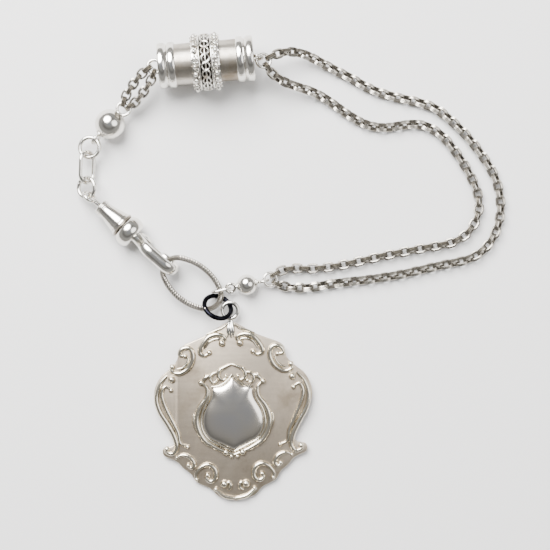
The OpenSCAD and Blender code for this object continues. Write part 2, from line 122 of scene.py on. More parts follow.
# Working by hand --------------------------------------------------------------
def pick(*pieces):
    bpy.ops.object.select_all(action="DESELECT")
    for piece in pieces:
        piece.select_set(True)
    bpy.context.view_layer.objects.active = pieces[-1]


def settle(piece, place):
    """Puts a piece that was made in millimetres at its place, with the place kept in its mesh."""
    piece.matrix_world = place @ MILLIMETRES
    pick(piece)
    bpy.ops.object.transform_apply(location=True, rotation=True, scale=True)
    return piece


def clean(piece, angle=40):
    """Merges doubles, turns the faces outwards and smooths the faces that meet gently."""
    pick(piece)
    bpy.ops.object.mode_set(mode="EDIT")
    bpy.ops.mesh.select_all(action="SELECT")
    bpy.ops.mesh.remove_doubles(threshold=0.002)
    bpy.ops.mesh.normals_make_consistent(inside=False)
    bpy.ops.object.mode_set(mode="OBJECT")
    bpy.ops.object.shade_smooth_by_angle(angle=math.radians(angle))
    return piece


def draw(points):
    """A line of edges, extruded from one point to the next; it is left selected in edit mode."""
    bpy.ops.object.select_all(action="DESELECT")
    bpy.ops.mesh.primitive_plane_add(size=1)
    bpy.ops.object.mode_set(mode="EDIT")
    bpy.ops.mesh.select_all(action="SELECT")
    bpy.ops.mesh.merge(type="CENTER")
    bpy.ops.transform.translate(value=points[0])
    for here, there in zip(points, points[1:]):
        step = Vector(there) - Vector(here)
        bpy.ops.mesh.extrude_region_move(TRANSFORM_OT_translate={"value": step})
    bpy.ops.mesh.select_all(action="SELECT")
    return bpy.context.object


def turned(profile, steps=72):
    """A profile of (place on X, radius) points, spun about X."""
    piece = draw([(x, 0, r) for x, r in profile])
    bpy.ops.mesh.spin(steps=steps, angle=math.tau, center=(0, 0, 0), axis=(1, 0, 0))
    bpy.ops.object.mode_set(mode="OBJECT")
    return clean(piece)


def arc(x, r, radius, start, end, steps=8, flat=1.0):
    """Points of (place on X, radius) round a centre; flat squeezes the arc towards the axis."""
    turn = [math.radians(start + (end - start) * n / steps) for n in range(steps + 1)]
    return [(x + radius * math.cos(a), r + radius * flat * math.sin(a)) for a in turn]


def hoop(mean, wire, major=64, minor=16):
    """A round ring of wire in XY."""
    bpy.ops.object.select_all(action="DESELECT")
    bpy.ops.mesh.primitive_torus_add(
        major_radius=mean, minor_radius=wire, major_segments=major, minor_segments=minor
    )
    return clean(bpy.context.object)


def ball(at, radius, segments=24):
    bpy.ops.object.select_all(action="DESELECT")
    bpy.ops.mesh.primitive_uv_sphere_add(
        radius=radius, location=at, segments=segments, ring_count=segments // 2
    )
    bpy.ops.object.transform_apply(location=True, rotation=True, scale=True)
    return clean(bpy.context.object)


def section(points):
    """A closed flat line that a wire can take as its cross section."""
    bpy.ops.object.select_all(action="DESELECT")
    bpy.ops.curve.primitive_bezier_curve_add()
    shape = bpy.context.object
    shape.data.dimensions = "2D"
    shape.data.splines.clear()
    line = shape.data.splines.new("POLY")
    line.points.add(len(points) - 1)
    for n, (x, y) in enumerate(points):
        line.points[n].co = (x, y, 0, 1)
    line.use_cyclic_u = True
    return shape


def wire(points, radius=1.0, closed=False, radii=None, tilts=None, shape=None, rounds=3):
    """A wire swept along points in XY, as a mesh."""
    bpy.ops.object.select_all(action="DESELECT")
    bpy.ops.curve.primitive_bezier_curve_add()
    curve = bpy.context.object.data
    curve.splines.clear()
    line = curve.splines.new("POLY")
    line.points.add(len(points) - 1)
    for n, point in enumerate(points):
        line.points[n].co = (*point, 1)
        line.points[n].radius = radii[n] if radii else 1
        line.points[n].tilt = tilts[n] if tilts else 0
    line.use_cyclic_u = closed
    curve.dimensions = "3D"
    curve.twist_mode = "Z_UP"
    curve.use_fill_caps = not closed
    if shape:
        curve.bevel_mode = "OBJECT"
        curve.bevel_object = shape
    else:
        curve.bevel_depth = radius
        curve.bevel_resolution = rounds
    bpy.ops.object.convert(target="MESH")
    return clean(bpy.context.object)


def flow(points, steps=5):
    """A smooth curve through points."""
    p = [Vector((*q, 0)[:3]) for q in points]
    found = []
    for n in range(len(p) - 1):
        a, b, c, d = p[max(n - 1, 0)], p[n], p[n + 1], p[min(n + 2, len(p) - 1)]
        for k in range(steps):
            t = k / steps
            found.append(
                (2 * b + (c - a) * t + (2 * a - 5 * b + 4 * c - d) * t**2
                 + (3 * b - a - 3 * c + d) * t**3) / 2
            )
    return found + [p[-1]]


def copied(piece, place=None):
    twin = piece.copy()
    twin.data = piece.data.copy()
    bpy.context.scene.collection.objects.link(twin)
    if place is not None:
        twin.data.transform(place)
    return twin


def moved(piece, place):
    piece.data.transform(place)
    return piece


def joined(pieces):
    pick(*pieces)
    bpy.ops.object.join()
    return bpy.context.object


def deliver(piece, name, body, slot, finish, *nodes):
    """Names a piece, gives it its finish, and lets it ride and stand for its nodes."""
    piece.name = piece.data.name = name
    piece.data.materials.clear()
    piece.data.materials.append(FINISHES[finish]())
    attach(piece, body)
    if nodes:
        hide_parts(*nodes)
    return piece


# Finishes ---------------------------------------------------------------------
def group(name, inputs, outputs):
    """An empty node group with float sockets, and its input and output nodes."""
    tree = bpy.data.node_groups.new(name, "ShaderNodeTree")
    for label, value in inputs.items():
        socket = tree.interface.new_socket(label, in_out="INPUT", socket_type="NodeSocketFloat")
        socket.default_value = value
    for label in outputs:
        tree.interface.new_socket(label, in_out="OUTPUT", socket_type="NodeSocketFloat")
    return tree, tree.nodes.new("NodeGroupInput"), tree.nodes.new("NodeGroupOutput")


def toning_group():
    """Cloudy patches of tone, softened at their edges."""
    if "toning" in bpy.data.node_groups:
        return bpy.data.node_groups["toning"]
    tree, given, made = group("toning", {"Scale": 200.0, "Level": 0.5, "Softness": 0.15}, ["Mask"])
    node, link = tree.nodes.new, tree.links.new
    place = node("ShaderNodeTexCoord")
    noise = node("ShaderNodeTexNoise")
    noise.inputs["Detail"].default_value = 5
    noise.inputs["Roughness"].default_value = 0.6
    low, high = node("ShaderNodeMath"), node("ShaderNodeMath")
    low.operation, high.operation = "SUBTRACT", "ADD"
    ramp = node("ShaderNodeMapRange")
    ramp.interpolation_type = "SMOOTHSTEP"
    link(place.outputs["Object"], noise.inputs["Vector"])
    link(given.outputs["Scale"], noise.inputs["Scale"])
    for edge in (low, high):
        link(given.outputs["Level"], edge.inputs[0])
        link(given.outputs["Softness"], edge.inputs[1])
    link(noise.outputs["Fac"], ramp.inputs["Value"])
    link(low.outputs[0], ramp.inputs["From Min"])
    link(high.outputs[0], ramp.inputs["From Max"])
    link(ramp.outputs["Result"], made.inputs["Mask"])
    return tree


def scratches_group():
    """Fine hair scratches in two directions, with small pits between them."""
    if "scratches" in bpy.data.node_groups:
        return bpy.data.node_groups["scratches"]
    tree, given, made = group("scratches", {"Scale": 900.0, "Length": 14.0}, ["Height"])
    node, link = tree.nodes.new, tree.links.new
    place = node("ShaderNodeTexCoord")
    total = None
    for angle in (0.5, 2.2):
        turn = node("ShaderNodeMapping")
        turn.inputs["Rotation"].default_value = (0.3, 0.2, angle)
        squeeze = node("ShaderNodeCombineXYZ")
        share = node("ShaderNodeMath")
        share.operation = "DIVIDE"
        share.inputs[0].default_value = 1
        link(given.outputs["Length"], share.inputs[1])
        link(share.outputs[0], squeeze.inputs["X"])
        squeeze.inputs["Y"].default_value = squeeze.inputs["Z"].default_value = 1
        link(squeeze.outputs[0], turn.inputs["Scale"])
        noise = node("ShaderNodeTexNoise")
        noise.inputs["Detail"].default_value = 3
        link(place.outputs["Object"], turn.inputs["Vector"])
        link(turn.outputs[0], noise.inputs["Vector"])
        link(given.outputs["Scale"], noise.inputs["Scale"])
        if total is None:
            total = noise.outputs["Fac"]
        else:
            add = node("ShaderNodeMath")
            add.operation = "ADD"
            link(total, add.inputs[0])
            link(noise.outputs["Fac"], add.inputs[1])
            total = add.outputs[0]
    link(total, made.inputs["Height"])
    return tree


def metal(name, bright, dark, level=0.55, softness=0.12, scale=260.0, rough=(0.16, 0.3),
          scratch=900.0, relief=0.000012, recess=False):
    """A worked metal: a bright colour, a darker tone in patches (on the blackened steel a lighter
    grey, partly painted glints), oxide and painted shade in recesses, and hair scratches.
    """
    name += "_worn"
    if name in bpy.data.materials:
        return bpy.data.materials[name]
    material = bpy.data.materials.new(name)
    material.use_nodes = True
    node, link = material.node_tree.nodes.new, material.node_tree.links.new
    shader = material.node_tree.nodes["Principled BSDF"]
    shader.inputs["Metallic"].default_value = 1
    tone = node("ShaderNodeGroup")
    tone.node_tree = toning_group()
    tone.inputs["Scale"].default_value = scale
    tone.inputs["Level"].default_value = level
    tone.inputs["Softness"].default_value = softness
    mask = tone.outputs["Mask"]
    # Recesses take the dark colour from the point attribute: oxide plus painted shade.
    if recess:
        oxide_and_shade_node = node("ShaderNodeAttribute")
        oxide_and_shade_node.attribute_name = "recess"
        deepest = node("ShaderNodeMath")
        deepest.operation = "MAXIMUM"
        link(mask, deepest.inputs[0])
        link(oxide_and_shade_node.outputs["Fac"], deepest.inputs[1])
        mask = deepest.outputs[0]
    colour = node("ShaderNodeMix")
    colour.data_type = "RGBA"
    colour.inputs["A"].default_value = (*bright, 1)
    colour.inputs["B"].default_value = (*dark, 1)
    link(mask, colour.inputs["Factor"])
    link(colour.outputs["Result"], shader.inputs["Base Color"])
    gloss = node("ShaderNodeMapRange")
    gloss.inputs["To Min"].default_value, gloss.inputs["To Max"].default_value = rough
    link(mask, gloss.inputs["Value"])
    link(gloss.outputs["Result"], shader.inputs["Roughness"])
    hairs = node("ShaderNodeGroup")
    hairs.node_tree = scratches_group()
    hairs.inputs["Scale"].default_value = scratch
    bump = node("ShaderNodeBump")
    bump.inputs["Distance"].default_value = relief
    bump.inputs["Strength"].default_value = 1
    link(hairs.outputs["Height"], bump.inputs["Height"])
    link(bump.outputs["Normal"], shader.inputs["Normal"])
    return material


def colour_of(label):
    return tuple(getattr(bpy.context.scene.chain_finish, label))


FINISHES = {
    "polished": lambda: metal("polished_silver", colour_of("silver"), colour_of("grey"), 0.66),
    "warm": lambda: metal(
        "warm_silver", colour_of("warm"), colour_of("tone"), 0.68, 0.16, 420.0, (0.17, 0.34)
    ),
    "satin": lambda: metal(
        "satin_silver", colour_of("grey"), colour_of("tone"), 0.52, 0.2, 150.0, (0.3, 0.42),
        relief=0.00003
    ),
    # Links: oxide and painted shade in the grooves and on the inner faces.
    "chain": lambda: metal(
        "chain_silver", colour_of("chain"), colour_of("oxide_and_shade"), 0.74, 0.14, 500.0, (0.24, 0.5),
        recess=True
    ),
    "pierced": lambda: metal(
        "pierced_silver", colour_of("silver"), colour_of("tone"), 0.62, 0.12, 600.0, (0.22, 0.4)
    ),
    "oxidised": lambda: metal(
        "oxidised_silver", colour_of("oxide_and_shade"), colour_of("tone"), 0.7, 0.1, 300.0, (0.45, 0.5)
    ),
    # Oval ring: oxide and painted shade in the grooves of the milling.
    "milled": lambda: metal(
        "milled_silver", colour_of("grey"), colour_of("oxide_and_shade"), 0.62, 0.12, 300.0, (0.24, 0.34),
        recess=True
    ),
    "field": lambda: metal(
        "toned_field", colour_of("field"), colour_of("tone"), 0.57, 0.2, 130.0, (0.34, 0.46),
        relief=0.00001
    ),
    "shield": lambda: metal(
        "shield_silver", colour_of("shield"), colour_of("warm"), 0.56, 0.25, 110.0, (0.16, 0.24)
    ),
    # Jump ring: blue black with random grey patches, partly worn silver and partly painted glints.
    "black": lambda: metal(
        "blackened_steel", colour_of("black"), colour_of("grey"), 0.64, 0.04, 420.0, (0.26, 0.3)
    ),
}
KEPT = {
    "left_end_cap": "satin", "right_end_cap": "satin", "barrel_core_wire": "polished",
    "band_sleeve": "oxidised", "small_ball_wire": "polished", "large_ball_wire": "polished",
    "gate_pin": "black", "gate_spring": "black",
}


class ChainFinish(bpy.types.PropertyGroup):
    silver: FloatVectorProperty(
        name="Silver", description="Bright, worn silver", subtype="COLOR",
        default=(0.78, 0.755, 0.7)
    )
    grey: FloatVectorProperty(
        name="Grey", description="Dull silver", subtype="COLOR", default=(0.5, 0.465, 0.41)
    )
    chain: FloatVectorProperty(
        name="Chain", description="High points of the links", subtype="COLOR",
        default=(0.58, 0.54, 0.47)
    )
    warm: FloatVectorProperty(
        name="Warm", description="Yellowish silver of the scrolls", subtype="COLOR",
        default=(0.72, 0.655, 0.53)
    )
    tone: FloatVectorProperty(
        name="Tone", description="Brown toning", subtype="COLOR", default=(0.2, 0.16, 0.115)
    )
    field: FloatVectorProperty(
        name="Field", description="Toned field of the medal", subtype="COLOR",
        default=(0.6, 0.51, 0.4)
    )
    shield: FloatVectorProperty(
        name="Shield", description="Polished shield", subtype="COLOR", default=(0.74, 0.7, 0.65)
    )
    # Oxide of the sleeve and the recesses; in the recesses of the links and the milled ring it also
    # stands for painted shade.
    oxide_and_shade: FloatVectorProperty(
        name="Oxide", description="Dark oxide in recesses", subtype="COLOR",
        default=(0.03, 0.025, 0.02)
    )
    black: FloatVectorProperty(
        name="Black", description="Blue black of the jump ring", subtype="COLOR",
        default=(0.008, 0.008, 0.011)
    )


class ChainShape(bpy.types.PropertyGroup):
    corner: FloatProperty(
        name="Link corner", description="Corner radius of a link, in millimetres", default=0.62
    )
    reeds: IntProperty(name="Reeds", description="Reeds on the band of a link", default=3, min=1)
    cells: IntProperty(name="Cells", description="Cells round the gallery", default=22, min=8)
    rope_turns: IntProperty(
        name="Rope turns", description="Whole turns of the oval ring's milling", default=13, min=1
    )
    oval_end: FloatProperty(
        name="Oval end", description="Radius of the oval ring's ends, in millimetres", default=2.9
    )


class ChainStudio(bpy.types.PropertyGroup):
    view_width: FloatProperty(
        name="View width", description="Width of table in view", unit="LENGTH", default=0.11
    )
    lens: FloatProperty(name="Lens", description="Focal length in millimetres", default=100)
    key_power: FloatProperty(name="Key light", description="Power in watts", default=13.0)
    fill_power: FloatProperty(name="Fill light", description="Power in watts", default=1.5)
    sky: FloatProperty(name="Sky", description="Strength of the room's light", default=0.42)


# Chain ------------------------------------------------------------------------
def rounded_path(length, width, corner, steps=3):
    """A closed path round a rectangle with round corners."""
    path = []
    for quarter in range(4):
        sx = 1 if quarter in (0, 3) else -1
        sy = 1 if quarter < 2 else -1
        for step in range(steps):
            a = math.pi / 2 * (quarter + step / (steps - 1))
            path.append((sx * (length / 2 - corner) + corner * math.cos(a),
                         sy * (width / 2 - corner) + corner * math.sin(a), 0))
    return path


def mark_oxide_and_shade(piece, is_deep):
    """Writes how deep each point lies, from 0 to 1, for the finish to darken with oxide and painted
    shade.
    """
    layer = piece.data.attributes.new("recess", "FLOAT", "POINT")
    layer.data.foreach_set("value", [is_deep(v.co) for v in piece.data.vertices])


def reeded_link(size):
    """One link from a reeded band, its length on X and the band's width on Z."""
    length, width, band = size
    thickness = 0.37
    reeds = bpy.context.scene.chain_shape.reeds
    step = band / reeds
    outer = []
    for n in range(reeds):
        top = -band / 2 + step * (n + 0.5)
        outer.append((thickness / 2, top))
        if n < reeds - 1:
            outer.append((thickness * 0.1, top + step / 2))
    edge = thickness * 0.15
    shape = section(
        [(edge, -band / 2)] + outer + [(edge, band / 2), (-thickness / 2, band / 2),
                                       (-thickness / 2, -band / 2)]
    )
    path = rounded_path(length - thickness, width - thickness, bpy.context.scene.chain_shape.corner)
    link = wire(path, closed=True, shape=shape)
    bpy.data.objects.remove(shape)
    grooves = [-band / 2 + step * n for n in range(1, reeds)]

    # Grooves and the inner faces of the band are marked dark: partly oxide, partly painted shade
    # for the shade between the reeds and inside each link.
    def deep(co):
        if min(abs(co.z - g) for g in grooves) < 0.02:
            return 0.95
        depth = thickness * 0.8
        inside = abs(co.x) < length / 2 - depth and abs(co.y) < width / 2 - depth
        return 0.8 if inside else 0.1

    mark_oxide_and_shade(link, deep)
    pick(link)
    bpy.ops.object.shade_smooth()
    return link


def links_of(node):
    """One frame and one size for each link of a strand."""
    strand = copied(frame["nodes"][node])
    strand.parent = None
    pick(strand)
    bpy.ops.object.mode_set(mode="EDIT")
    bpy.ops.mesh.select_all(action="SELECT")
    bpy.ops.mesh.remove_doubles(threshold=1e-6)
    bpy.ops.mesh.separate(type="LOOSE")
    bpy.ops.object.mode_set(mode="OBJECT")
    found = []
    for part in list(bpy.context.selected_objects):
        points = np.array([v.co for v in part.data.vertices])
        place = lie(points)
        low, high = reach(points, place)
        found.append((place, high - low))
        bpy.data.meshes.remove(part.data)
    return found


def strand(node, body):
    places = links_of(node)
    pattern = reeded_link(places[len(places) // 2][1])
    base = places[len(places) // 2][1].x
    parts = []
    for place, size in places:
        stretch = Matrix.Diagonal((size.x / base, 1, 1, 1))
        parts.append(copied(pattern, place @ MILLIMETRES @ stretch))
    bpy.data.objects.remove(pattern)
    deliver(joined(parts), node + "_links", body, "chain_silver", "chain", node)


class CHAIN_OT_strands(bpy.types.Operator):
    """Lays a reeded link on every link of the four strands"""
    bl_idname = "chain.strands"
    bl_label = "Strands"

    def execute(self, context):
        strand("strand_a", "strand_a")
        strand("strand_b", "strand_b")
        strand("short_strand_a", "left_run")
        strand("short_strand_b", "left_run")
        return {"FINISHED"}


# Barrel station -----------------------------------------------------------------
def span(node, place):
    """Where a round piece starts and ends on X, and its outer radius."""
    low, high = reach(cloud(node), place)
    return low.x, high.x, high.z


class CHAIN_OT_barrel(bpy.types.Operator):
    """Turns the tube and its two double beaded collars"""
    bl_idname = "chain.barrel"
    bl_label = "Barrel and collars"

    def execute(self, context):
        start, end, r = span("barrel_tube", BARREL)
        wall = 0.4
        tube = turned([(start, r), (start / 3, r + 0.02), (end / 3, r + 0.02), (end, r),
                       (end, r - wall), (start, r - wall), (start, r)], 96)
        deliver(settle(tube, BARREL), "barrel_shell", "barrel_station", "satin_silver", "satin",
                "barrel_tube")
        for node in ("left_collar", "right_collar"):
            self.collar(node, r)
        return {"FINISHED"}

    def collar(self, node, tube_r):
        low, high, r = span(node, BARREL)
        side = 1 if high > 0 else -1
        inner, outer = (low, high) if side > 0 else (high, low)
        width = abs(outer - inner)
        bore, bead, valley = tube_r + 0.03, width * 0.42, r - 0.42
        profile = [(inner, bore), (inner, valley)]
        centres = [inner + side * bead / 2, outer - side * bead / 2]
        foot = valley + 0.1
        for x in centres:
            half = side * bead / 2
            profile += [(x - half * math.cos(a), foot + (r - valley - 0.1) * math.sin(a) ** 0.7)
                        for a in [math.pi * k / 10 for k in range(1, 10)]]
            profile.append((x + half * 0.98, valley - 0.12 if x == centres[0] else valley))
        profile += [(outer, bore + 0.1), (outer - side * 0.25, bore), (inner, bore)]
        piece = settle(turned(profile, 96), BARREL)
        deliver(piece, node + "_beads", "barrel_station", "polished_silver", "polished", node)


class CHAIN_OT_gallery(bpy.types.Operator):
    """Builds the pierced gallery: round cells, cross wires, hoops and granulated crowns"""
    bl_idname = "chain.gallery"
    bl_label = "Gallery"

    def execute(self, context):
        count = context.scene.chain_shape.cells
        start, end, outer = span("gallery_band", BARREL)
        sleeve = span("band_sleeve", BARREL)[2]
        half = (end - start) / 2
        mid_r = (outer + sleeve) / 2 + 0.1
        rail = Matrix.Rotation(math.pi / 2, 4, "Y")
        parts = [moved(hoop(outer - 0.16, 0.16, 96, 10), rail)]
        for x in (-half + 0.1, half - 0.1):
            parts.append(moved(hoop(mid_r, 0.24, 96, 10), Matrix.Translation((x, 0, 0)) @ rail))
        eye = hoop(half * 0.56, 0.17, 20, 8)
        for n in range(count):
            turn = Matrix.Rotation(math.tau * n / count, 4, "X")
            parts.append(copied(eye, turn @ Matrix.Translation((0, 0, outer - 0.2))))
        bpy.data.objects.remove(eye)
        piece = settle(joined(parts), BARREL)
        deliver(piece, "gallery_cells", "barrel_station", "pierced_silver", "pierced",
                "gallery_band")
        for node in ("left_crown", "right_crown"):
            self.crown(node, count, sleeve)
        return {"FINISHED"}

    def crown(self, node, count, sleeve):
        low, high, outer = span(node, BARREL)
        side = 1 if high > 0 else -1
        near, far = (low, high) if side > 0 else (high, low)
        wide = abs(far - near)
        base = outer - 0.75
        parts = [turned([(near, sleeve + 0.03), (near, base), (near + side * wide * 0.8, base),
                         (far, sleeve + 0.25), (far, sleeve + 0.03), (near, sleeve + 0.03)], 88)]
        petal = ball((0, 0, 0), 0.5, 12)
        grain = ball((0, 0, 0), 0.24, 8)
        for n in range(count):
            whole = Matrix.Rotation(math.tau * n / count, 4, "X")
            half = Matrix.Rotation(math.tau * (n + 0.5) / count, 4, "X")
            x = near + side * wide * 0.5
            parts.append(copied(petal, whole @ Matrix.Translation((x, 0, outer - 0.5))))
            for share, drop, turn in ((0.12, 0.42, half), (0.55, 0.55, half), (0.93, 0.75, whole)):
                at = Matrix.Translation((near + side * wide * share, 0, outer - drop))
                parts.append(copied(grain, turn @ at))
        bpy.data.objects.remove(petal)
        bpy.data.objects.remove(grain)
        piece = settle(joined(parts), BARREL)
        deliver(piece, node + "_grains", "barrel_station", "pierced_silver", "pierced", node)


# Balls and rings ------------------------------------------------------------------
class CHAIN_OT_balls(bpy.types.Operator):
    """Makes the two hollow balls, each with a small collar at its holes"""
    bl_idname = "chain.balls"
    bl_label = "Balls"

    def execute(self, context):
        for node, wire_node, body in (("large_ball", "large_ball_wire", "left_run"),
                                      ("small_ball", "small_ball_wire", "right_run")):
            low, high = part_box(node)
            axis = lie(cloud(wire_node)).col[0].xyz
            place = stand((low + high) / 2, axis, UP)
            r = (high.z - low.z) * 500
            hole = 0.34 * r
            depth = math.sqrt(r * r - hole * hole)
            start = math.degrees(math.asin(hole / r))
            shell = turned(arc(0, 0, r, start, 180 - start, 40), 72)
            parts = [shell]
            for side in (-1, 1):
                x = side * depth
                rim = arc(x, hole, 0.16, -90, 270, 12)
                parts.append(turned(rim, 40))
                bore = hole * 0.35
                parts.append(turned([(x * 0.96, hole), (x * 0.9, bore), (x * 0.2, bore)], 32))
            piece = settle(joined(parts), place)
            deliver(piece, node + "_shell", body, "polished_silver", "polished", node)
        return {"FINISHED"}


ROUND_RINGS = {
    "ring_1": ("ring_1", "polished_silver", "polished"),
    "ring_3": ("ring_3", "polished_silver", "polished"),
    "right_fork_ring": ("right_run", "chain_silver", "polished"),
    "strand_fork_ring": ("right_run", "chain_silver", "polished"),
    "jump_ring": ("jump_ring", "blackened_steel", "black"),
    "bail_ring": ("fob", "plain_silver", "polished"),
}
LONG_RINGS = {"long_link": "long_link", "end_loop": "end_loop"}


class CHAIN_OT_rings(bpy.types.Operator):
    """Bends the plain rings: round ones with a closed joint, and two long ones"""
    bl_idname = "chain.rings"
    bl_label = "Rings"

    def execute(self, context):
        for node, (body, slot, finish) in ROUND_RINGS.items():
            place = lie(cloud(node))
            low, high = reach(cloud(node), place)
            wire_r = (high.z - low.z) / 2
            mean = (high.x - low.x) / 2 - wire_r
            ring = hoop(mean, wire_r * 0.98, 72, 20)
            seam = hoop(wire_r * 0.9, wire_r * 0.14, 24, 8)
            turn = Matrix.Translation((0, -mean, 0)) @ Matrix.Rotation(math.pi / 2, 4, "Y")
            seam.data.transform(turn)
            piece = settle(joined([seam, ring]), place)
            deliver(piece, node + "_wire", body, slot, finish, node)
        for node, body in LONG_RINGS.items():
            place = lie(cloud(node))
            low, high = reach(cloud(node), place)
            wire_r = (high.z - low.z) / 2
            length, width = high.x - low.x - 2 * wire_r, high.y - low.y - 2 * wire_r
            path = rounded_path(length, width, width / 2 - 0.01, 14)
            piece = settle(wire(path, wire_r * 0.98, closed=True, rounds=5), place)
            deliver(piece, node + "_wire", body, "plain_silver", "polished", node)
        return {"FINISHED"}


class CHAIN_OT_oval(bpy.types.Operator):
    """Sweeps the oval ring with its twisted milling"""
    bl_idname = "chain.oval"
    bl_label = "Oval ring"

    def execute(self, context):
        shape_of = context.scene.chain_shape
        place = lie(cloud("oval_ring"))
        low, high = reach(cloud("oval_ring"), place)
        wire_r = (high.z - low.z) / 2
        half_l, half_w = (high.x - low.x) / 2 - wire_r, (high.y - low.y) / 2 - wire_r
        path = self.oval(half_l, half_w, shape_of.oval_end)
        lobes = [((wire_r * (0.99 if n % 2 else 0.84)) * math.cos(math.tau * n / 12),
                  (wire_r * (0.99 if n % 2 else 0.84)) * math.sin(math.tau * n / 12))
                 for n in range(12)]
        shape = section(lobes)
        count = len(path)
        tilts = [math.tau * shape_of.rope_turns * n / count for n in range(count)]
        ring = wire(path, closed=True, tilts=tilts, shape=shape)
        bpy.data.objects.remove(shape)
        centre_line = np.array(path)

        # The grooves of the milling are marked dark: partly oxide, partly painted shade.
        def deep(co):
            gap = np.linalg.norm(centre_line - np.array(co), axis=1).min()
            return 0.75 if gap < wire_r * 0.92 else 0.0

        mark_oxide_and_shade(ring, deep)
        pick(ring)
        bpy.ops.object.shade_smooth()
        deliver(settle(ring, place), "oval_ring_rope", "oval_ring", "milled_silver", "milled",
                "oval_ring")
        return {"FINISHED"}

    @staticmethod
    def oval(half_l, half_w, end, steps=60):
        """Four arcs: two tight ends and two wide sides that meet them smoothly."""
        side = ((half_l - end) ** 2 + half_w**2 - end**2) / (2 * half_w - 2 * end)
        meet = math.asin((side - half_w) / (side - end))
        path = []
        for turn in (0, math.pi):
            flip = 1 if turn == 0 else -1
            for n in range(steps):
                a = -meet + 2 * meet * n / steps
                x, y = half_l - end + end * math.cos(a), end * math.sin(a)
                path.append((flip * x, flip * y, 0))
            for n in range(steps):
                a = meet + (math.pi - 2 * meet) * n / steps
                x, y = side * math.cos(a), half_w - side + side * math.sin(a)
                path.append((flip * x, flip * y, 0))
        return path


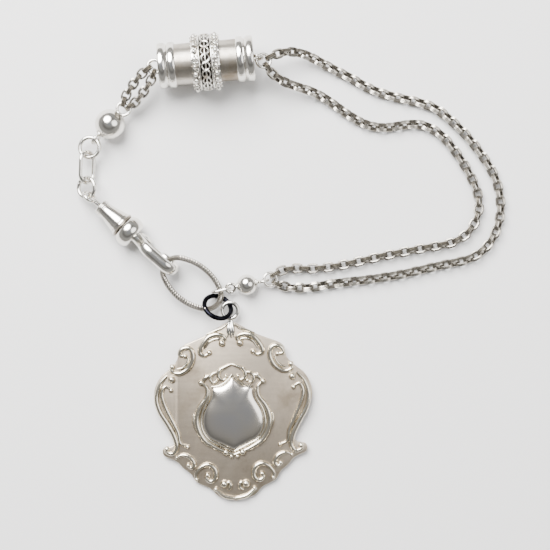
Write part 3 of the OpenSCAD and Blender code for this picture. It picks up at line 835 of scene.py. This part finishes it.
# Dog clip ---------------------------------------------------------------------------
class CHAIN_OT_clip(bpy.types.Operator):
    """Turns the clip's swivel, collar, barrel, flange and bead, and bends its hook"""
    bl_idname = "chain.clip"
    bl_label = "Dog clip"

    def execute(self, context):
        self.swivel()
        start, end, r = span("clip_collar", CLIP)
        third = (end - start) / 3
        collar = [(start, 0.55)]
        for n in range(3):
            x = start + third * (n + 0.5)
            top = r - 0.12 * (n != 1)
            collar += [(x - third / 2 * math.cos(a), top - 0.2 + 0.2 * math.sin(a))
                       for a in [math.pi * k / 8 for k in range(9)]]
        collar += [(end, 0.55), (start, 0.55)]
        deliver(settle(turned(collar), CLIP), "clip_collar_beads", "clip", "plain_silver",
                "polished", "clip_collar")

        start, end, r = span("clip_barrel", CLIP)
        narrow = 1.6
        length = end - start
        body = [(start, 0.56), (start, narrow - 0.1)]
        body += [(start + length * t, narrow + (r - narrow) * t**1.35) for t in
                 [n / 12 for n in range(11)]]
        body += [(end - 0.62, r - 0.16), (end - 0.55, r - 0.3), (end - 0.45, r - 0.3),
                 (end - 0.38, r - 0.08), (end - 0.1, r), (end, r - 0.08), (end, 2.1),
                 (start + 2.1, 1.4), (start + 0.3, 0.56), (start, 0.56)]
        deliver(settle(turned(body, 80), CLIP), "clip_barrel_shell", "clip", "plain_silver",
                "polished", "clip_barrel")

        start, end, r = span("clip_flange", CLIP)
        flange = [(start, 1.03), (start, r - 0.1), (start + 0.1, r), (end - 0.1, r),
                  (end, r - 0.1), (end, 1.03), (start, 1.03)]
        deliver(settle(turned(flange), CLIP), "clip_flange_disc", "clip", "oxidised_silver",
                "satin", "clip_flange")

        start, end, r = span("clip_bead", CLIP)
        half, x = (end - start) / 2, (start + end) / 2
        bead = [(x - half, 1.03)]
        bead += [(x - half * math.cos(a), 1.9 + (r - 1.9) * math.sin(a) ** 0.8)
                 for a in [math.pi * n / 24 for n in range(25)]]
        bead += [(x + half, 1.03), (x - half, 1.03)]
        deliver(settle(turned(bead, 96), CLIP), "clip_bead_round", "clip", "polished_silver",
                "polished", "clip_bead")
        self.hook()
        self.gate()
        return {"FINISHED"}

    def swivel(self):
        points = cloud("swivel_eye")
        inverse = np.array(CLIP.inverted())
        local = points @ inverse[:3, :3].T + inverse[:3, 3]
        ring_points = points[local[:, 0] < -0.0009]
        place = lie(ring_points)
        low, _ = reach(points, CLIP)
        wire_r = 0.42
        mean = 1.12
        centre = CLIP @ Vector(((low.x + mean + wire_r) / 1000, 0, 0))
        place.translation = centre
        eye = settle(hoop(mean, wire_r, 56, 18), place)
        neck = [(low.x + 2 * mean + wire_r, 0.5), (0.6, 0.5), (0.8, 0.75), (1.0, 0.5), (2.4, 0.5),
                (2.5, 0.9), (3.2, 0.9), (3.2, 0)]
        stem = settle(turned(neck, 32), CLIP)
        deliver(joined([eye, stem]), "swivel_eye_wire", "left_run", "plain_silver", "polished",
                "swivel_eye")

    def hook(self):
        high = reach(cloud("clip_hook"), CLIP)[1]
        bight = 2.1
        end = high.x - 0.8
        centre = end - bight
        path = flow([(9.8, 0), (11, 0.05), (12.1, 0.7), (13.1, 1.65), (14.3, 2.1)], 6)
        path = [tuple(p) for p in path]
        path += [(14.3 + (centre - 14.3) * n / 6, bight, 0) for n in range(1, 6)]
        path += [(centre + bight * math.sin(a), bight * math.cos(a), 0)
                 for a in [math.pi * n / 20 for n in range(21)]]
        path += [(centre - 0.7, -bight, 0), (centre - 1.4, -bight, 0), (centre - 1.75, -bight, 0)]
        radii = [1.0 + 0.12 * math.sin(math.pi * n / len(path)) for n in range(len(path))]
        radii[-2:] = [0.96, 0.7]
        oval = [(0.74 * math.cos(a), 1.1 * math.sin(a)) for a in
                [math.tau * n / 20 for n in range(20)]]
        shape = section(oval)
        hook = wire(path, radii=radii, shape=shape)
        bpy.data.objects.remove(shape)
        flat = CLIP @ Matrix.Rotation(math.pi / 2, 4, "X")
        hook = settle(hook, flat)
        cheeks = []
        for side in (-1, 1):
            disc = [(side * 0.56, 0), (side * 0.56, 1.3), (side * 0.66, 1.4), (side * 1.08, 1.4),
                    (side * 1.2, 1.28), (side * 1.2, 0.45), (side * 1.12, 0.3), (side * 1.12, 0)]
            cheeks.append(turned(disc, 48))
        pin = Vector(JOINTS["gate_opening"]["pos_m"])
        across = stand(pin, gate_axis, clip_axis)
        cheeks = [settle(cheek, across) for cheek in cheeks]
        rod = [(4.4, 0), (4.4, 1.4), (4.9, 1.4), (5.0, 1), (11.2, 1), (11.5, 0)]
        stem = settle(turned(rod, 40), CLIP)
        deliver(joined(cheeks + [stem, hook]), "clip_hook_bent", "clip", "plain_silver", "polished",
                "clip_hook")

    def gate(self):
        high = reach(cloud("gate_lever"), CLIP)[1]
        pin = CLIP.inverted() @ Vector(JOINTS["gate_opening"]["pos_m"]) * 1000
        length = high.x - pin.x
        bpy.ops.object.select_all(action="DESELECT")
        bpy.ops.mesh.primitive_cube_add(size=1, location=(length / 2, 0, -0.15))
        bar = bpy.context.object
        bar.scale = (length, 0.98, 0.86)
        bpy.ops.object.transform_apply(location=True, rotation=True, scale=True)
        bevel = bar.modifiers.new("soft edges", "BEVEL")
        bevel.width, bevel.segments = 0.2, 4
        bpy.ops.object.modifier_apply(modifier=bevel.name)
        bar.data.transform(Matrix.Rotation(math.radians(9), 4, "Y"))
        cheek = [(-0.49, 0), (-0.49, 1.0), (-0.4, 1.08), (0.4, 1.08), (0.49, 1.0), (0.49, 0)]
        disc = turned(cheek, 40)
        disc.data.transform(Matrix.Rotation(math.pi / 2, 4, "Z"))
        lever = joined([clean(bar), disc])
        place = CLIP @ Matrix.Translation(pin / 1000)
        deliver(settle(lever, place), "gate_lever_bar", "gate", "plain_silver", "satin",
                "gate_lever")


# Medal --------------------------------------------------------------------------------
# Scrolls on the left half of the medal, in millimetres from the ring it hangs on: points, radius.
# Each is repeated, turned over, on the right half.
SCROLLS = [
    ([(-1.8, -6.4), (-1.2, -5.4), (-2.4, -4.75), (-4.1, -5.0), (-5.2, -6.0), (-6.1, -7.4),
      (-6.2, -8.5), (-5.2, -8.9), (-4.3, -8.2)], 0.5),
    ([(-2.3, -6.9), (-1.9, -5.9), (-3.0, -5.6), (-4.4, -6.2), (-5.3, -7.6)], 0.26),
    ([(-9.3, -8.8), (-10.4, -8.7), (-9.9, -7.5), (-8.4, -7.3), (-7.7, -8.7), (-8.0, -10.2),
      (-9.0, -11.6), (-10.6, -12.4), (-12.0, -11.9), (-11.9, -10.9)], 0.5),
    ([(-8.7, -9.0), (-8.9, -10.2), (-9.8, -11.2), (-10.9, -11.4)], 0.28),
    ([(-13.0, -12.7), (-14.5, -14.4), (-15.3, -17.2), (-14.7, -19.9), (-13.2, -22.5),
      (-11.9, -25.1), (-11.5, -27.2), (-12.4, -28.5), (-13.6, -28.1), (-13.6, -27.3)], 0.5),
    ([(-12.3, -15.6), (-13.5, -14.9), (-14.2, -16.5), (-13.6, -18.9), (-12.5, -21.4),
      (-11.2, -24.2), (-10.8, -26.4), (-9.4, -27.1)], 0.42),
    ([(-11.6, -29.3), (-10.3, -28.8), (-8.8, -29.4), (-8.1, -30.7), (-8.7, -31.5),
      (-9.4, -30.9)], 0.44),
    ([(-7.7, -33.8), (-7.8, -32.7), (-6.9, -31.5), (-5.4, -30.9), (-4.0, -31.8), (-3.9, -33.5),
      (-4.9, -34.3), (-5.8, -33.6), (-5.4, -32.8)], 0.48),
    ([(-2.1, -34.9), (-1.2, -34.6), (-0.9, -35.6), (-1.6, -36.2)], 0.34),
    ([(-3.9, -35.9), (-2.5, -37.2), (-1.2, -37.65), (0.0, -37.75)], 0.4),
    ([(-0.6, -2.6), (-1.6, -3.4), (-3.0, -3.9), (-4.8, -4.6)], 0.24),
]
# Balls and seeds on the left half: place, radius
SEEDS = [
    (-1.8, -6.5, 0.75), (-4.4, -8.3, 0.6), (-9.3, -8.9, 0.5), (-11.9, -11.0, 0.62),
    (-12.1, -13.5, 0.75), (-12.3, -15.7, 0.5), (-13.5, -27.5, 0.6), (-9.3, -27.2, 0.45),
    (-9.3, -30.9, 0.5), (-5.5, -33.0, 0.6), (-7.7, -33.8, 0.45), (-2.2, -34.9, 0.85),
    (-11.6, -29.3, 0.4), (-3.9, -35.9, 0.5),
]
# The frame of the applied shield, its left half
SHIELD_SCROLLS = [
    ([(-6.1, -14.3), (-5.1, -15.4), (-5.2, -17.2), (-6.6, -19.2), (-7.3, -21.4), (-7.1, -23.6),
      (-5.9, -25.9), (-4.1, -27.2), (-2.3, -28.1), (0.0, -29.0)], 0.52),
    ([(-4.6, -15.8), (-4.7, -17.5), (-6.1, -20.2), (-6.4, -23.3), (-5.1, -25.7), (-2.7, -27.0),
      (0.0, -28.3)], 0.3),
    ([(-7.9, -20.6), (-7.95, -22.2), (-7.6, -23.8)], 0.3),
    ([(0.0, -10.7), (-1.0, -11.1), (-2.4, -11.9), (-2.7, -13.2), (-1.7, -13.9),
      (-1.1, -13.1)], 0.34),
    ([(-2.6, -12.4), (-3.7, -12.5), (-4.4, -13.5), (-3.8, -14.4), (-3.0, -14.0)], 0.32),
    ([(-4.2, -12.9), (-5.2, -13.2), (-6.1, -14.2)], 0.36),
    ([(0.0, -12.8), (-1.2, -14.2), (-2.6, -15.0), (-4.2, -15.2)], 0.24),
]
SHIELD_SEEDS = [
    (-6.2, -14.3, 0.6), (-1.2, -13.1, 0.4), (-3.1, -14.0, 0.38), (-4.2, -27.1, 0.45),
    (-3.1, -27.7, 0.36), (-1.7, -28.5, 0.7), (-0.6, -29.3, 0.45), (-5.2, -12.9, 0.34),
    (-2.3, -11.6, 0.34),
]
SHIELD_EDGE = [
    (0.0, -13.1), (-1.9, -15.0), (-4.0, -15.3), (-4.2, -17.4), (-5.9, -20.4), (-6.1, -23.4),
    (-4.9, -25.6), (-2.6, -26.8), (0.0, -28.1),
]


def both(points):
    """The points of a left half and of its right half."""
    return [points, [(-x, y) for x, y in points]]


def ornament(scrolls, seeds, height):
    """Raised scrolls and balls, on both halves of the medal."""
    parts = []
    for points, radius in scrolls:
        for half in both(points):
            path = [(p.x, p.y, height) for p in flow(half, 4)]
            last = len(path) - 1
            radii = [0.62 + 0.55 * math.sin(math.pi * n / last) for n in range(last + 1)]
            parts.append(wire(path, radius, radii=radii, rounds=3))
    for x, y, radius in seeds:
        for side in (-1, 1):
            parts.append(ball((side * x, y, height), radius, 12))
    return joined(parts)


def relief(node, bevel, angle=30):
    """A copy of a flat CAD piece with its sharp edges softened."""
    piece = copied(frame["nodes"][node])
    piece.parent = None
    for key in list(piece.keys()):
        del piece[key]
    pick(piece)
    bpy.ops.object.mode_set(mode="EDIT")
    bpy.ops.mesh.select_all(action="SELECT")
    bpy.ops.mesh.remove_doubles(threshold=1e-6)
    bpy.ops.mesh.dissolve_limited(angle_limit=math.radians(3))
    bpy.ops.mesh.select_all(action="SELECT")
    bpy.ops.mesh.normals_make_consistent(inside=False)
    bpy.ops.object.mode_set(mode="OBJECT")
    softened = piece.modifiers.new("soft edges", "BEVEL")
    softened.width, softened.segments = bevel, 3
    softened.limit_method = "ANGLE"
    softened.angle_limit = math.radians(50)
    bpy.ops.object.modifier_apply(modifier=softened.name)
    bpy.ops.object.shade_smooth_by_angle(angle=math.radians(angle))
    return piece


class CHAIN_OT_medal(bpy.types.Operator):
    """Makes the medal: its plate, scrolled border, stem and applied shield"""
    bl_idname = "chain.medal"
    bl_label = "Medal"

    def execute(self, context):
        top = reach(cloud("fob_plate"), FOB)[1].z
        deliver(relief("fob_plate", 0.0002), "medal_field", "fob", "toned_silver", "field",
                "fob_plate")
        border = settle(ornament(SCROLLS, SEEDS, top + 0.08), FOB)
        deliver(border, "medal_scrolls", "fob", "polished_silver", "warm", "fob_border")
        frame_scrolls = settle(ornament(SHIELD_SCROLLS, SHIELD_SEEDS, top + 0.35), FOB)
        deliver(frame_scrolls, "shield_frame", "fob", "polished_silver", "warm", "fob_cartouche")
        deliver(settle(self.shield(top), FOB), "shield_dome", "fob", "shield_silver", "shield",
                "fob_shield")
        deliver(settle(self.stem(top), FOB), "bail_stem", "fob", "plain_silver", "polished",
                "bail_post")
        return {"FINISHED"}

    def shield(self, top):
        """A plain shield, extruded and drawn in step by step into a smooth dome."""
        half = [(p.x, p.y) for p in flow(SHIELD_EDGE, 3)]
        edge = half + [(-x, y) for x, y in half[-2:0:-1]]
        piece = draw([(x, y, top) for x, y in edge + edge[:1]])
        bpy.ops.mesh.remove_doubles(threshold=0.01)
        bpy.ops.mesh.select_all(action="SELECT")
        bpy.ops.mesh.edge_face_add()
        bpy.ops.mesh.extrude_region_move(TRANSFORM_OT_translate={"value": (0, 0, 0.55)})
        middle_y = (SHIELD_EDGE[0][1] + SHIELD_EDGE[-1][1]) / 2
        for share, rise in ((0.95, 0.26), (0.87, 0.24), (0.78, 0.18), (0.66, 0.1), (0.5, 0.04)):
            bpy.ops.mesh.extrude_region_move(TRANSFORM_OT_translate={"value": (0, 0, rise)})
            bpy.ops.transform.resize(value=(share, share, 1), center_override=(0, middle_y, top))
            bpy.ops.transform.tosphere(value=0.22)
        bpy.ops.object.mode_set(mode="OBJECT")
        smooth = piece.modifiers.new("dome", "SUBSURF")
        smooth.levels = smooth.render_levels = 2
        pick(piece)
        bpy.ops.object.modifier_apply(modifier=smooth.name)
        return clean(piece, 60)

    def stem(self, top):
        """Three flutes side by side, tapering from the ring down to the field."""
        parts = []
        for offset, lift in ((-0.42, 0.0), (0.0, 0.14), (0.42, 0.0)):
            path = [(offset * (0.6 + 0.9 * t), -2.05 - 3.3 * t, 0.15 + (top + lift) * min(1, 2 * t))
                    for t in [n / 8 for n in range(9)]]
            radii = [0.8 + 0.5 * math.sin(math.pi * min(1.0, t * 1.1)) - 0.5 * t**3
                     for t in [n / 8 for n in range(9)]]
            parts.append(wire(path, 0.34, radii=radii, rounds=4))
        return joined(parts)


class CHAIN_OT_kept(bpy.types.Operator):
    """Gives the frame pieces that stay in view their finishes"""
    bl_idname = "chain.kept"
    bl_label = "Kept pieces"

    def execute(self, context):
        for node, finish in KEPT.items():
            piece = frame["nodes"][node]
            for n in range(max(1, len(piece.material_slots))):
                if not piece.material_slots:
                    piece.data.materials.append(FINISHES[finish]())
                piece.material_slots[n].material = FINISHES[finish]()
        return {"FINISHED"}


# Studio ---------------------------------------------------------------------------------
def table_material():
    material = bpy.data.materials.new("table_white")
    material.use_nodes = True
    shader = material.node_tree.nodes["Principled BSDF"]
    shader.inputs["Base Color"].default_value = (0.8, 0.79, 0.78, 1)
    shader.inputs["Roughness"].default_value = 0.6
    return material


def area_light(name, at, target, size, power):
    bpy.ops.object.light_add(type="AREA", location=at)
    light = bpy.context.object
    light.name = name
    light.data.shape = "DISK"
    light.data.size = size
    light.data.energy = power
    light.rotation_euler = (Vector(target) - Vector(at)).to_track_quat("-Z", "Y").to_euler()
    return light


class CHAIN_OT_studio(bpy.types.Operator):
    """Sets the pale table, the soft lights and the camera over the chain"""
    bl_idname = "chain.studio"
    bl_label = "Studio"

    def execute(self, context):
        studio = context.scene.chain_studio
        low, high = CAD_BOX
        centre = Vector(((low.x + high.x) / 2 - 0.0033, (low.y + high.y) / 2 - 0.0013, 0))
        bpy.ops.mesh.primitive_plane_add(size=3, location=(0, 0, low.z - 0.00005))
        table = context.object
        table.name = "table"
        table.data.materials.append(table_material())
        area_light("key", centre + Vector((-0.16, 0.3, 0.42)), centre, 0.44, studio.key_power)
        area_light("fill", centre + Vector((0.32, 0.05, 0.4)), centre, 0.4, studio.fill_power)
        self.sky(context, studio.sky)
        distance = studio.view_width / 36 * studio.lens
        bpy.ops.object.camera_add(location=centre + UP * (distance + 0.003), rotation=(0, 0, 0))
        camera = context.object
        camera.data.lens = studio.lens
        camera.data.sensor_width = 36
        camera.data.clip_start, camera.data.clip_end = 0.01, 20
        context.scene.camera = camera
        return {"FINISHED"}

    def sky(self, context, strength):
        """A room that is darker straight above and bright towards its walls."""
        world = bpy.data.worlds.new("room")
        context.scene.world = world
        world.use_nodes = True
        tree = world.node_tree
        place = tree.nodes.new("ShaderNodeTexCoord")
        part = tree.nodes.new("ShaderNodeSeparateXYZ")
        ramp = tree.nodes.new("ShaderNodeValToRGB")
        stops = ramp.color_ramp.elements
        stops[0].position, stops[0].color = 0.0, (1.0, 0.98, 0.95, 1)
        stops[1].position, stops[1].color = 1.0, (0.7, 0.75, 0.85, 1)
        for at, colour in ((0.45, (1.0, 0.99, 0.97, 1)), (0.72, (0.35, 0.35, 0.34, 1)),
                           (0.9, (0.8, 0.79, 0.77, 1))):
            stop = stops.new(at)
            stop.color = colour
        back = tree.nodes["Background"]
        back.inputs["Strength"].default_value = strength
        tree.links.new(place.outputs["Generated"], part.inputs[0])
        tree.links.new(part.outputs["Z"], ramp.inputs["Fac"])
        tree.links.new(ramp.outputs["Color"], back.inputs["Color"])


OPERATORS = (
    CHAIN_OT_strands, CHAIN_OT_barrel, CHAIN_OT_gallery, CHAIN_OT_balls, CHAIN_OT_rings,
    CHAIN_OT_oval, CHAIN_OT_clip, CHAIN_OT_medal, CHAIN_OT_kept, CHAIN_OT_studio,
)


class CHAIN_PT_panel(bpy.types.Panel):
    """Lists what the chain is built from"""
    bl_idname = "CHAIN_PT_panel"
    bl_label = "Watch Chain"
    bl_space_type = "VIEW_3D"
    bl_region_type = "UI"
    bl_category = "Watch Chain"

    def draw(self, context):
        for settings in (context.scene.chain_finish, context.scene.chain_shape,
                         context.scene.chain_studio):
            for name in settings.__annotations__:
                self.layout.prop(settings, name)
        for operator in OPERATORS:
            self.layout.operator(operator.bl_idname)


GROUPS = {"chain_finish": ChainFinish, "chain_shape": ChainShape, "chain_studio": ChainStudio}
CLASSES = (*GROUPS.values(), *OPERATORS, CHAIN_PT_panel)


def register():
    for each in CLASSES:
        bpy.utils.register_class(each)
    for name, kind in GROUPS.items():
        setattr(bpy.types.Scene, name, PointerProperty(type=kind))


def unregister():
    for name in GROUPS:
        delattr(bpy.types.Scene, name)
    for each in reversed(CLASSES):
        bpy.utils.unregister_class(each)


def main():
    register()
    for operator in OPERATORS:
        getattr(bpy.ops.chain, operator.bl_idname.split(".")[1])()


if __name__ == "__main__":
    main()
